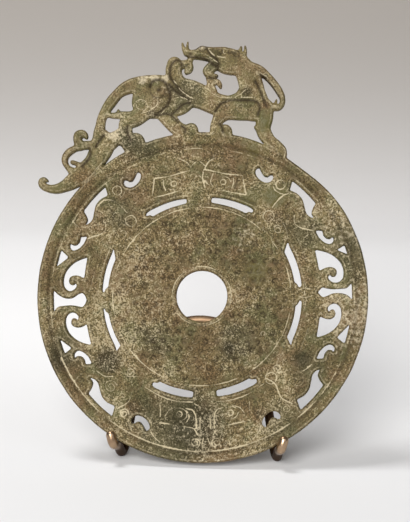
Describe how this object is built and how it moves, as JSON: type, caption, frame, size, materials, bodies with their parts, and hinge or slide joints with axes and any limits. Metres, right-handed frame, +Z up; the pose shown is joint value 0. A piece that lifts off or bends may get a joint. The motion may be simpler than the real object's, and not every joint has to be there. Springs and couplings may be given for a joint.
{
  "type": "openwork jade bi disc on a wire easel",
  "caption": "Weathered jade bi disc with a carved dragon striding over its rim, standing on a small brass wire easel.",
  "frame": {"origin": "on the floor under the middle of the whole piece", "axes": "+Z up, the carved front and the easel's prongs face -Y, +X to the right seen from the front"},
  "size_m": [0.182, 0.0794, 0.225],
  "materials": {
    "jade": "weathered olive-brown jade, satin where polished, pitted and cream-stained where altered",
    "easel_brass": "polished pinkish brass wire"
  },
  "bodies": {
    "root": {"jade_bi": "jade", "easel_front_wire": "easel_brass", "easel_rear_leg": "easel_brass"}
  },
  "joints": []
}
